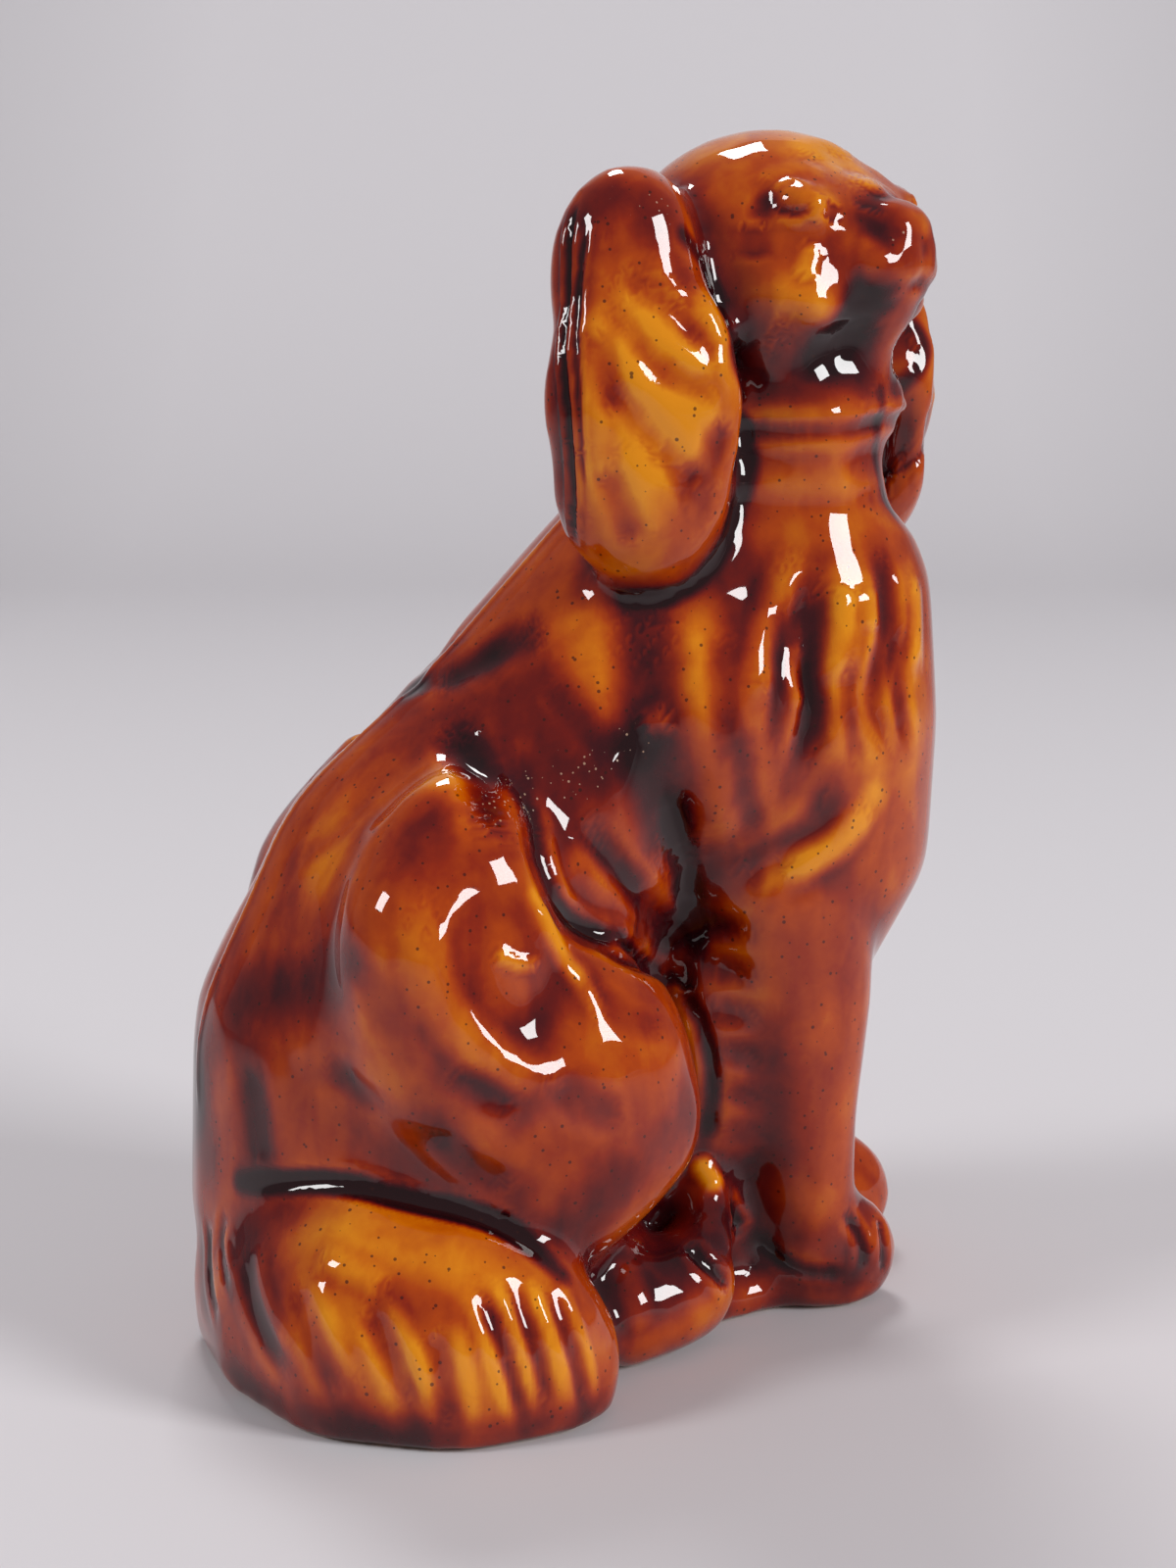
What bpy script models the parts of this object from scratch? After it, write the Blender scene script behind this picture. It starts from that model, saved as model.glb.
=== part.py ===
"""A seated spaniel in treacle-glazed pottery, as the clay sections that are luted together before firing.

The dog sits along X and faces +X, its right flank to -Y, and its head is turned to its right.
The body is pressed in two half shells, which meet on the spine, and stands on a slab with a vent hole.
The head is pressed in a face half and a back half, which meet over the ears, and is luted on at the neck.
Collar, ears, forelegs, hind paws and tail are solid pieces that are laid on the shells.
"""

import math
from collections import namedtuple

import bmesh
import bpy
from mathutils import Matrix, Vector

MM = 0.001

# A mass is one rounded lump of clay: its middle and its three half sizes, in millimetres, turned by yaw degrees.
Mass = namedtuple("Mass", "at radii yaw", defaults=(0,))

# Walls and joins, in millimetres
WALL = 4.5
LUTE_GAP = 0.3
SLAB_THICK = 4.5
VENT_RADIUS = 5.0
VENT_AT = (-8, 0)

# Body, from the rump up the back to the neck, and down the chest to the belly; the lumps after those are mirrored
BACK = (Mass((-20, 0, 18), (29, 30, 20)), Mass((-20, 0, 38), (28.5, 27, 26)), Mass((-14.5, 0, 57), (25, 24, 25)),
        Mass((-3, 0, 69), (22, 22, 22)), Mass((12, 0, 88), (19.5, 20, 20)), Mass((23.5, 0, 104), (17, 16, 16)))
CHEST = (Mass((26.5, 0, 108), (15.5, 15.5, 16)), Mass((28, 0, 93), (21.5, 20, 14)), Mass((27, 0, 77), (23.5, 22, 18)),
         Mass((27.5, 0, 61), (22.5, 20, 17)), Mass((25, 0, 47), (17, 14, 16)), Mass((13, 0, 28), (15, 14, 18)),
         Mass((16, 0, 10), (15, 12, 14)))
SHOULDER = Mass((13, -9, 80), (18, 15, 20))
HAUNCH = Mass((-21, -19, 50), (16, 15.5, 27))
THIGH = Mass((-11, -22, 36), (20, 14.5, 22))
KNEE = Mass((-3, -24, 33), (12.5, 9, 13))

# The body ends and the head begins at this height
NECK_JOIN = 112.5

# Head, in its own frame: forward, to its left, up
HEAD_AT = (27, 0, 133)
HEAD_TURN = -54
HEAD_TILT = 10
SKULL = Mass((0, 0, 1), (19.5, 19.5, 17.5))
BROW = Mass((6.5, 0, 3), (9.8, 13.5, 9.5))
EYE = Mass((14, -11.5, 6.5), (3.5, 3.5, 3))
CHEEK = Mass((7.5, -10, -5), (9, 8, 8))
MUZZLE = Mass((13.5, 0, -1), (9.5, 9, 8.5))
NOSE = Mass((19.5, 0, 2), (4.2, 5.5, 4.5))
JAW = Mass((10.5, 0, -7.5), (9, 8.5, 5))
THROAT = Mass((0, 0, -16), (15.5, 15.5, 12))

# Ears, in the head's frame without its tilt, so that they hang; the right one is mirrored to the left
EAR_YAW = -46
EAR_ROOT = Mass((-5, -23, 5), (8, 8, 9), EAR_YAW)
EAR_UPPER = Mass((-3, -27.6, 0), (7.2, 9.6, 14), EAR_YAW)
EAR_MIDDLE = Mass((0.6, -28.9, -14), (7.6, 12.6, 17), EAR_YAW)
EAR_LOWER = Mass((0.3, -28.5, -24), (7, 11.5, 13), EAR_YAW)
EAR_BACK = Mass((-5, -19, -12), (8, 8, 20), EAR_YAW)

# Collar: a strip of clay of this thickness laid round the neck, over the join, from so far below it to so far above
COLLAR_BELOW = 4.8
COLLAR_ABOVE = 4.9
COLLAR_THICK = 1.8

# Forelegs, from the shoulder to the wrist, with the feathering behind them, and their paws
FORELEG_RIGHT = (Mass((25.6, -9.5, 56), (13, 11, 12)), Mass((26.4, -9.5, 42), (12.2, 10, 12)),
                 Mass((28.4, -9, 26), (8.5, 8.5, 9)), Mass((29.8, -9, 15), (7, 7.5, 7)))
FORELEG_LEFT = (Mass((26, 9.5, 56), (12, 11, 12)), Mass((28.5, 9.5, 42), (11, 10, 12)),
                Mass((33.5, 9.5, 26), (8.5, 8.5, 9)), Mass((37, 10, 16), (7, 7.5, 8)))
FEATHER = Mass((18, -9, 37), (10, 8, 19))
PAW_RIGHT = Mass((33.5, -8.5, 6), (10.3, 7.8, 9.2))
PAW_LEFT = Mass((41.5, 10.5, 7), (10.3, 8.3, 10))

# Hind paw; the right one is mirrored to the left
HIND_FOOT = Mass((2, -19, 7), (13, 8, 8))
HIND_TOE_OUTER = Mass((0, -22.3, 6.5), (8, 5.5, 7))
HIND_TOE_MIDDLE = Mass((10.5, -17.8, 8), (6.5, 6, 8))
HIND_TOE_INNER = Mass((14.5, -13.5, 15), (3.8, 4, 7))

# Tail, from its root on the spine round the right flank to its tip
TAIL = (Mass((-35, 2, 7), (14, 13, 21)), Mass((-36, -12, 7), (13.5, 13, 21)), Mass((-32, -24, 7), (14, 14, 21)),
        Mass((-25, -29.5, 7), (13, 13.5, 19.5)), Mass((-17, -31, 6), (11, 11.5, 17)), Mass((-12, -31, 5), (8, 9, 12)))

# The slab reaches under the whole figure, and this lump fills it out between the paws
SLAB_MIDDLE = Mass((2, 0, 2), (36, 16.5, 8))

# How finely the clay is modelled: the size of a facet before thinning, in millimetres, and the rounds of smoothing
GRAIN = 1.4
SMOOTHING = 5

# Glaze colours, in linear light, where it lies thin, thicker and pooled
AMBER = (0.42, 0.15, 0.025)
TREACLE = (0.25, 0.065, 0.015)
POOLED = (0.07, 0.018, 0.012)
GLAZE_ROUGHNESS = 0.08

# Larger than the figure in every direction, for blocks that keep one side of a plane
REACH = 400


def clear_scene():
    for obj in list(bpy.data.objects):
        bpy.data.objects.remove(obj)


def collection(name):
    made = bpy.data.collections.new(name)
    bpy.context.scene.collection.children.link(made)
    return made


def body_frame():
    return Matrix.Identity(4)


def head_frame(tilt=HEAD_TILT):
    turn = Matrix.Rotation(math.radians(HEAD_TURN), 4, "Z")
    return Matrix.Translation(Vector(HEAD_AT)) @ turn @ Matrix.Rotation(math.radians(-tilt), 4, "Y")


def mirrored(mass):
    """The same lump on the other side of its frame's middle plane."""
    x, y, z = mass.at
    return Mass((x, -y, z), mass.radii, -mass.yaw)


def pair(mass):
    return [mass, mirrored(mass)]


def roll(masses, steps=5):
    """A tapering roll of clay: lumps so close together, from each given one to the next, that they blend."""
    lumps = []
    for first, last in zip(masses, masses[1:]):
        for step in range(steps):
            share = step / steps
            at = Vector(first.at).lerp(Vector(last.at), share)
            radii = Vector(first.radii).lerp(Vector(last.radii), share)
            lumps.append(Mass(tuple(at), tuple(radii)))
    return lumps + [masses[-1]]


def new_object(name, bm, holder):
    """A mesh object of a bmesh in millimetres."""
    bmesh.ops.scale(bm, vec=(MM, MM, MM), verts=bm.verts)
    mesh = bpy.data.meshes.new(name)
    bm.to_mesh(mesh)
    bm.free()
    obj = bpy.data.objects.new(name, mesh)
    holder.objects.link(obj)
    return obj


def finished(obj):
    """The object with its modifiers applied."""
    graph = bpy.context.evaluated_depsgraph_get()
    mesh = bpy.data.meshes.new_from_object(obj.evaluated_get(graph))
    obj.modifiers.clear()
    obj.data = mesh
    return obj


def add_lumps(bm, masses, frame, grow=0.0):
    for mass in masses:
        sizes = [radius + grow for radius in mass.radii]
        place = Matrix.Translation(Vector(mass.at)) @ Matrix.Rotation(math.radians(mass.yaw), 4, "Z")
        shape = frame @ place @ Matrix.Diagonal((*sizes, 1))
        bmesh.ops.create_icosphere(bm, subdivisions=3, radius=1, matrix=shape)


def blended(name, bm, holder, keep):
    """One closed form of the overlapping lumps, smoothed where they meet. keep is the share of its facets left."""
    obj = new_object(name, bm, holder)
    blend = obj.modifiers.new("Blend", "REMESH")
    blend.mode = "VOXEL"
    blend.voxel_size = GRAIN * MM
    soften = obj.modifiers.new("Soften", "SMOOTH")
    soften.factor = 0.5
    soften.iterations = SMOOTHING
    thin = obj.modifiers.new("Thin", "DECIMATE")
    thin.ratio = keep
    return finished(obj)


def lump(name, masses, frame, holder, grow=0.0, keep=0.11):
    bm = bmesh.new()
    add_lumps(bm, masses, frame, grow)
    return blended(name, bm, holder, keep)


def block(name, low, high, holder, frame=None):
    """A box between two corners of a frame."""
    bm = bmesh.new()
    low, high = Vector(low), Vector(high)
    place = Matrix.Translation((low + high) / 2) @ Matrix.Diagonal((*(high - low), 1))
    bmesh.ops.create_cube(bm, size=1, matrix=(frame or body_frame()) @ place)
    return new_object(name, bm, holder)


def grown(obj, holder):
    """A cutter: the form made larger all over by the thickness of the slip in a luted join."""
    copy = bpy.data.objects.new(obj.name + "_grown", obj.data.copy())
    holder.objects.link(copy)
    swell = copy.modifiers.new("Swell", "DISPLACE")
    swell.strength = LUTE_GAP * MM
    swell.mid_level = 0
    return finished(copy)


def copy_of(obj, name, holder):
    made = bpy.data.objects.new(name, obj.data.copy())
    holder.objects.link(made)
    return made


def without_crumbs(obj):
    """Leave only the largest connected body, without the crumbs that a cut along a curved join breaks off."""
    bm = bmesh.new()
    bm.from_mesh(obj.data)
    unseen = set(bm.faces)
    bodies = []
    while unseen:
        body, rim = set(), {unseen.pop()}
        while rim:
            body |= rim
            rim = {other for face in rim for edge in face.edges for other in edge.link_faces} - body
        unseen -= body
        bodies.append(body)
    largest = max(bodies, key=len)
    bmesh.ops.delete(bm, geom=[face for face in bm.faces if face not in largest], context="FACES")
    bm.to_mesh(obj.data)
    bm.free()
    return obj


def shaped(obj, operation, others):
    for other in others:
        step = obj.modifiers.new(operation.title(), "BOOLEAN")
        step.operation = operation
        step.object = other
    return without_crumbs(finished(obj))


def cut(obj, *cutters):
    return shaped(obj, "DIFFERENCE", cutters)


def kept_inside(obj, *blocks):
    return shaped(obj, "INTERSECT", blocks)


def glaze(obj, colour):
    material = bpy.data.materials.new(obj.name + "_glaze")
    material.use_nodes = True
    shader = material.node_tree.nodes["Principled BSDF"]
    shader.inputs["Base Color"].default_value = (*colour, 1)
    shader.inputs["Roughness"].default_value = GLAZE_ROUGHNESS
    obj.data.materials.clear()
    obj.data.materials.append(material)
    return obj


def above(height, holder):
    return block("above", (-REACH, -REACH, height), (REACH, REACH, REACH), holder)


def body_masses():
    return [*roll(BACK), *roll(CHEST), *pair(SHOULDER), *pair(HAUNCH), *pair(THIGH), *pair(KNEE)]


def head_masses():
    return [SKULL, BROW, *pair(EYE), *pair(CHEEK), MUZZLE, NOSE, JAW, THROAT]


def ear_masses():
    return [EAR_ROOT, EAR_UPPER, EAR_MIDDLE, EAR_LOWER, EAR_BACK]


def hind_paw_masses():
    return [HIND_FOOT, HIND_TOE_OUTER, HIND_TOE_MIDDLE, HIND_TOE_INNER]


def make_body_shells(form, parts, formers):
    """The right and left press-moulded halves, open at the neck and at the foot."""
    hollow_masses = [*roll(BACK), *roll(CHEST), *pair(HAUNCH), *pair(THIGH)]
    hollow = lump("body_hollow", hollow_masses, body_frame(), formers, grow=-WALL, keep=0.03)
    floor = SLAB_THICK + LUTE_GAP
    for side, low_y, high_y in (("right", -REACH, -LUTE_GAP / 2), ("left", LUTE_GAP / 2, REACH)):
        shell = copy_of(form, "body_shell_" + side, parts)
        room = block("body_room_" + side, (-REACH, low_y, floor), (REACH, high_y, NECK_JOIN), formers)
        kept_inside(shell, room)
        glaze(cut(shell, hollow), TREACLE)


def make_head_shells(form, parts, formers):
    """The face half and the back half, open at the neck."""
    hollow = lump("head_hollow", [SKULL, THROAT], head_frame(), formers, grow=-WALL, keep=0.06)
    room = above(NECK_JOIN + LUTE_GAP, formers)
    for side, low_x, high_x in (("face", LUTE_GAP / 2, REACH), ("back", -REACH, -LUTE_GAP / 2)):
        shell = copy_of(form, "head_shell_" + side, parts)
        half = block("head_room_" + side, (low_x, -REACH, -REACH), (high_x, REACH, REACH), formers, head_frame(0))
        kept_inside(shell, room, half)
        glaze(cut(shell, hollow), TREACLE)


def make_collar(cutters, parts, formers):
    """A strip round the neck, over the join of body and head."""
    bm = bmesh.new()
    add_lumps(bm, [*roll(BACK), *roll(CHEST)], body_frame(), COLLAR_THICK)
    add_lumps(bm, [THROAT], head_frame(), COLLAR_THICK)
    collar = blended("collar", bm, parts, keep=0.1)
    low, high = NECK_JOIN - COLLAR_BELOW, NECK_JOIN + COLLAR_ABOVE
    band = block("collar_band", (-REACH, -REACH, low), (REACH, REACH, high), formers)
    kept_inside(collar, band)
    return glaze(cut(collar, *cutters), TREACLE)


def make_slab(all_masses, parts, formers):
    """The foot: a flat slab as wide as the figure above it, with a hole that lets steam out in the kiln."""
    bm = bmesh.new()
    for masses, frame in all_masses:
        add_lumps(bm, masses, frame)
    add_lumps(bm, [SLAB_MIDDLE], body_frame())
    slab = blended("base_slab", bm, parts, keep=0.04)
    layer = block("slab_layer", (-REACH, -REACH, 0), (REACH, REACH, SLAB_THICK), formers)
    bm = bmesh.new()
    place = Matrix.Translation((*VENT_AT, SLAB_THICK / 2))
    bmesh.ops.create_cone(bm, cap_ends=True, segments=32, radius1=VENT_RADIUS, radius2=VENT_RADIUS,
                          depth=3 * SLAB_THICK, matrix=place)
    vent = new_object("vent", bm, formers)
    kept_inside(slab, layer)
    return glaze(cut(slab, vent), POOLED)


def settle(parts):
    """Give each piece its own middle as origin, and put the figure's bottom centre on the world's origin."""
    corners = [vert.co for obj in parts.objects for vert in obj.data.vertices]
    low = Vector([min(corner[axis] for corner in corners) for axis in range(3)])
    high = Vector([max(corner[axis] for corner in corners) for axis in range(3)])
    foot = Vector(((low.x + high.x) / 2, (low.y + high.y) / 2, low.z))
    for obj in parts.objects:
        verts = obj.data.vertices
        middle = sum((vert.co for vert in verts), Vector()) / len(verts)
        obj.data.transform(Matrix.Translation(-middle))
        obj.location = middle - foot
        obj.data.shade_flat()
    return foot


def main():
    clear_scene()
    parts = collection("pottery_spaniel")
    formers = collection("formers")
    floor = above(SLAB_THICK + LUTE_GAP, formers)

    body_form = lump("body_form", body_masses(), body_frame(), formers, keep=0.05)
    head_form = lump("head_form", head_masses(), head_frame(), formers, keep=0.14)
    make_body_shells(body_form, parts, formers)
    make_head_shells(head_form, parts, formers)
    body_cutter, head_cutter = grown(body_form, formers), grown(head_form, formers)
    collar = make_collar((body_cutter, head_cutter), parts, formers)
    collar_cutter = grown(collar, formers)

    all_masses = [(body_masses(), body_frame())]
    for side, masses in (("right", ear_masses()), ("left", [mirrored(mass) for mass in ear_masses()])):
        ear = lump("ear_" + side, masses, head_frame(0), parts)
        glaze(cut(ear, body_cutter, head_cutter, collar_cutter), AMBER)

    leg_cutters = []
    for side, leg, feather, paw in (("right", FORELEG_RIGHT, FEATHER, PAW_RIGHT),
                                    ("left", FORELEG_LEFT, mirrored(FEATHER), PAW_LEFT)):
        masses = roll(leg) + [feather, paw]
        all_masses.append((masses, body_frame()))
        foreleg = lump("foreleg_" + side, masses, body_frame(), parts)
        leg_form = grown(foreleg, formers)
        kept_inside(foreleg, floor)
        glaze(cut(foreleg, body_cutter, *leg_cutters), TREACLE)
        leg_cutters.append(leg_form)

    paw_cutters = []
    for side, masses in (("right", hind_paw_masses()), ("left", [mirrored(mass) for mass in hind_paw_masses()])):
        all_masses.append((masses, body_frame()))
        hind_paw = lump("hind_paw_" + side, masses, body_frame(), parts)
        paw_cutters.append(grown(hind_paw, formers))
        kept_inside(hind_paw, floor)
        glaze(cut(hind_paw, body_cutter, *leg_cutters), POOLED)

    all_masses.append((roll(TAIL), body_frame()))
    tail = lump("tail", roll(TAIL), body_frame(), parts)
    kept_inside(tail, floor)
    glaze(cut(tail, body_cutter, *paw_cutters), AMBER)

    make_slab(all_masses, parts, formers)
    for former in formers.objects:
        former.hide_render = True
        former.display_type = "WIRE"
    return settle(parts)


FOOT = main()
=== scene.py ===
import math

import bmesh
import bpy
import numpy as np
from mathutils import Matrix, Vector
from mathutils.bvhtree import BVHTree


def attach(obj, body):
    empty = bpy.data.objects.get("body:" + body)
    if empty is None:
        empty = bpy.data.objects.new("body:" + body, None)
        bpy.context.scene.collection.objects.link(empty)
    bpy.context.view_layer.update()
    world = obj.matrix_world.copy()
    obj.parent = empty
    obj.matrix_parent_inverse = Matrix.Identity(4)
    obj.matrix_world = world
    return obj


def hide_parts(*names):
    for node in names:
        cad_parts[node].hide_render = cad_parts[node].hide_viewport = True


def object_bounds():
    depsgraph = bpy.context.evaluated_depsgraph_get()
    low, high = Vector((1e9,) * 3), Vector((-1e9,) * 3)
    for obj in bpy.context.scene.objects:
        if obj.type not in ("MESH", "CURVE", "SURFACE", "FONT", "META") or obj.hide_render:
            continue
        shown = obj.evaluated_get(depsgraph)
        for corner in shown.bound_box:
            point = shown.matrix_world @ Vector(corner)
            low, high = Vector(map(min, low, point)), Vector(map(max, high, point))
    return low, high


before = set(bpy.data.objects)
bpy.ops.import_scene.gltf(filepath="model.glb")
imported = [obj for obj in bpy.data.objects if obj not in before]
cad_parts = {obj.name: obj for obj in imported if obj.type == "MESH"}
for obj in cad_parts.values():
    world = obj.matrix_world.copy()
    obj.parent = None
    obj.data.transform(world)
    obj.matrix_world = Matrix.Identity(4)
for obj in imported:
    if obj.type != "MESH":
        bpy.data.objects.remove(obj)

cad_low, cad_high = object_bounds()

# Sizes here are in millimetres, and Blender's are in metres
MM = 0.001

# The camera
# It stands where the photograph was taken from, so a place on the dog can be read off the photograph in its
# pixels, 1200 wide and 1600 high, and found again on the clay along the line of sight. Its own place is in
# metres and its turns are in degrees.

PIXELS_WIDE = 1200
PIXELS_HIGH = 1600
FOCAL_PIXELS = 2986
CAMERA_AT = (-0.12662, -0.3413, 0.138)
CAMERA_TILT = 79.4
CAMERA_TURN = -20

camera_data = bpy.data.cameras.new("photo_camera")
camera_data.lens = camera_data.sensor_width * FOCAL_PIXELS / PIXELS_HIGH
camera_data.clip_start = 0.01
camera = bpy.data.objects.new("photo_camera", camera_data)
bpy.context.scene.collection.objects.link(camera)
bpy.context.scene.camera = camera
camera.location = CAMERA_AT
camera.rotation_euler = (math.radians(CAMERA_TILT), 0, math.radians(CAMERA_TURN))
bpy.context.view_layer.update()

# The clay
# The pressed shells and the solid pieces are luted together wet, and the joins are wiped over with slip, so
# the skin runs on from piece to piece. It is one form while it is modelled here, and is parted into its
# pieces last.


def places_of(mesh):
    """The mesh's corners, one row each."""
    places = np.empty(len(mesh.vertices) * 3)
    mesh.vertices.foreach_get("co", places)
    return places.reshape(-1, 3)


def modified(obj, *steps):
    """The object's mesh after modifiers, each given as its type and its settings."""
    for kind, settings in steps:
        step = obj.modifiers.new(kind.title(), kind)
        for name, value in settings.items():
            setattr(step, name, value)
    mesh = bpy.data.meshes.new_from_object(obj.evaluated_get(bpy.context.evaluated_depsgraph_get()))
    obj.modifiers.clear()
    obj.data = mesh
    return mesh


def largest_body(mesh):
    """Keep only the mesh's largest connected surface: the outside, without the walls of the hollow."""
    bm = bmesh.new()
    bm.from_mesh(mesh)
    unseen, bodies = set(bm.verts), []
    while unseen:
        body, edge = set(), {unseen.pop()}
        while edge:
            body |= edge
            edge = {e.other_vert(v) for v in edge for e in v.link_edges} - body
        unseen -= body
        bodies.append(body)
    keep = max(bodies, key=len)
    bmesh.ops.delete(bm, geom=[v for v in bm.verts if v not in keep], context="VERTS")
    bm.to_mesh(mesh)
    bm.free()


class Clay:
    """The skin of the luted clay. place and out hold each corner's position in metres and its way outwards.
    moved, tone and the third hold what the tools have done there: millimetres pushed out, glaze, and the
    blisters of crackled glaze, whose pale specks are partly painted glints."""

    def __init__(self, obj):
        self.obj = obj
        count = len(obj.data.vertices)
        self.moved = np.zeros(count)
        self.tone = np.zeros(count)
        self.crackle = np.zeros(count)
        self.measure()

    def measure(self):
        mesh = self.obj.data
        self.place, self.out = places_of(mesh), np.empty(len(mesh.vertices) * 3)
        mesh.vertex_normals.foreach_get("vector", self.out)
        self.out = self.out.reshape(-1, 3)
        bm = bmesh.new()
        bm.from_mesh(mesh)
        self.tree = BVHTree.FromBMesh(bm)
        bm.free()

    def set(self):
        """Move the clay as the tools have pressed it so far, and take its new shape as the one to work on."""
        place = self.place + self.out * self.moved[:, None] * MM
        self.obj.data.vertices.foreach_set("co", place.ravel())
        self.obj.data.update()
        self.moved[:] = 0
        self.measure()

    def sponged(self, rounds):
        """Where each corner would be if all the clay were wiped smooth."""
        wiped = bpy.data.objects.new("wiped", self.obj.data.copy())
        bpy.context.scene.collection.objects.link(wiped)
        places = places_of(modified(wiped, ("SMOOTH", {"factor": 0.5, "iterations": rounds})))
        bpy.data.objects.remove(wiped)
        return places


# The middle of the vent in the foot, seen from above, and its radius
VENT_AT = (-12.52, 3.18)
VENT_RADIUS = 5.0
PLUG_RADIUS = 1.3 * VENT_RADIUS
PLUG_DEPTH = 4.4
PLUG_MIDDLE = 2.3
# The slip that closes the gaps at the joins, and how fine the skin is drawn over them
SLIP = 0.3
CLAY_GRAIN = 1.25
WIPES_OVER_JOINS = 14
WELD = 0.001

luted = bmesh.new()
for node in sorted(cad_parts):
    luted.from_mesh(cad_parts[node].data)
bmesh.ops.remove_doubles(luted, verts=luted.verts, dist=WELD * MM)
# The vent is stopped with a wider plug while the skin is made, and is cut again when the pieces are parted
bmesh.ops.create_cone(luted, cap_ends=True, segments=24, radius1=PLUG_RADIUS * MM,
                      radius2=PLUG_RADIUS * MM, depth=PLUG_DEPTH * MM,
                      matrix=Matrix.Translation((VENT_AT[0] * MM, VENT_AT[1] * MM, PLUG_MIDDLE * MM)))
clay_mesh = bpy.data.meshes.new("clay")
luted.to_mesh(clay_mesh)
luted.free()
clay_object = bpy.data.objects.new("clay", clay_mesh)
bpy.context.scene.collection.objects.link(clay_object)
modified(clay_object, ("DISPLACE", {"strength": SLIP * MM, "mid_level": 0}),
         ("REMESH", {"mode": "VOXEL", "voxel_size": CLAY_GRAIN * MM}),
         ("SMOOTH", {"factor": 0.5, "iterations": WIPES_OVER_JOINS}))
largest_body(clay_object.data)
modified(clay_object, ("SUBSURF", {"levels": 1, "render_levels": 1}))
clay = Clay(clay_object)
clay.moved -= SLIP
clay.set()


def seen(u, v):
    """The place on the clay that the photograph shows at this pixel, in millimetres. Past the outline, it is
    the place nearest to the line of sight."""
    turn = camera.matrix_world
    right, up = u - PIXELS_WIDE / 2, PIXELS_HIGH / 2 - v
    sight = turn.to_3x3() @ Vector((right / FOCAL_PIXELS, up / FOCAL_PIXELS, -1))
    hit = clay.tree.ray_cast(turn.translation, sight.normalized())[0]
    if hit is None:
        away = clay.place - np.array(turn.translation)
        line = np.array(sight.normalized())
        miss = np.linalg.norm(away - (away @ line)[:, None] * line, axis=1)
        hit = Vector(clay.place[int(miss.argmin())])
    return hit / MM


def at(*pixels):
    """The places of several pixels, given as u, v, u, v and so on."""
    return [seen(u, v) for u, v in zip(pixels[::2], pixels[1::2])]


# The points of a stroke's run lie so far apart. HOLD says how soon it loses clay that faces away from it, and
# the others give the place and width of its raised lips and the rise of its step, as shares of its own width
# and depth.
RUN_STEP = 0.6
HOLD = 1.6
LIP_AT = 1.15
LIP_WIDTH = 0.75
STEP_RISE = 1.4


def run_of(points):
    """Points close together on a smooth curve through the given ones, laid on the clay, in millimetres."""
    if len(points) == 1:
        return np.array(points)
    ends = [Vector(p) for p in points]
    ends = [2 * ends[0] - ends[1], *ends, 2 * ends[-1] - ends[-2]]
    run = []
    for a, b, c, d in zip(ends, ends[1:], ends[2:], ends[3:]):
        count = max(2, int((c - b).length / RUN_STEP))
        for i in range(count):
            t = i / count
            run.append(0.5 * (2 * b + (c - a) * t + (2 * a - 5 * b + 4 * c - d) * t * t
                              + (3 * b - a - 3 * c + d) * t ** 3))
    run.append(ends[-2])
    return np.array([clay.tree.find_nearest(p * MM)[0] / MM for p in run])


def near(points, reach):
    """The corners within reach of a run of points: which they are, how far off, how far along as a share, how
    far to the left side, and how much they look the same way as the clay under the run."""
    place = clay.place / MM
    low, high = points.min(0) - reach, points.max(0) + reach
    close = np.nonzero(((place > low) & (place < high)).all(1))[0]
    offset = place[close][:, None, :] - points[None, :, :]
    gaps = np.linalg.norm(offset, axis=2)
    index = gaps.argmin(1)
    gap = gaps[np.arange(len(close)), index]
    inside = gap < reach
    close, index, gap = close[inside], index[inside], gap[inside]
    tangent = np.gradient(points, axis=0) if len(points) > 1 else np.zeros((1, 3))
    side = np.cross(tangent[index], place[close] - points[index])
    side = np.sign((side * clay.out[close]).sum(1)) * gap
    ways = np.array([clay.tree.find_nearest(Vector(p) * MM)[1] for p in points[::max(1, len(points) // 8)]])
    same_way = np.clip((clay.out[close] @ ways.T).max(1, initial=-1) * HOLD, 0, 1)
    return close, gap, index / max(1, len(points) - 1), side, same_way


def bump(share):
    """1 in the middle, falling softly to 0 at a share of 1."""
    return np.clip(1 - share ** 2, 0, 1) ** 2


def press(points, width, depth, lip=0.0, step=0.0, ends=0.25):
    """Run a tool over the clay: a groove of this depth, or a ridge if it is negative, fading within width.
    lip raises its two shoulders by that share of its depth, step leaves its left side higher than its right,
    and at its ends it fades over that share of its length."""
    close, gap, along, side, same_way = near(run_of(points), width * (2 if lip or step else 1))
    fade = np.clip(np.minimum(along, 1 - along) / ends, 0, 1) if ends else 1
    change = -depth * bump(gap / width) + depth * lip * bump((gap - LIP_AT * width) / (LIP_WIDTH * width))
    change += STEP_RISE * step * (side / width) * bump(gap / (2 * width))
    clay.moved[close] += change * fade * fade * (3 - 2 * fade) * same_way


def pat(points, width, height):
    """Raise the clay into a soft pad round the points, or sink it if height is negative."""
    press(points, width, -height, ends=0)


def sponge(points, width, rounds):
    """Wipe the clay smooth round the points, the more rounds the smoother."""
    wiped = ((clay.sponged(rounds) - clay.place) * clay.out).sum(1) / MM
    close, gap, *_ = near(run_of(points), width)
    clay.moved[close] += wiped[close] * bump(gap / width)


def dab(points, width, amount):
    """Brush glaze on round the points: a positive amount lies thicker and darker, a negative one thinner."""
    close, gap, *_, same_way = near(run_of(points), width)
    clay.tone[close] += amount * bump(gap / width) * same_way


def prick(points, width, amount):
    """Let the glaze blister where it has crackled round the points: pale specks, partly painted glints of
    light.
    """
    close, gap, *_, same_way = near(run_of(points), width)
    clay.crackle[close] += amount * bump(gap / width) * same_way


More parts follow.
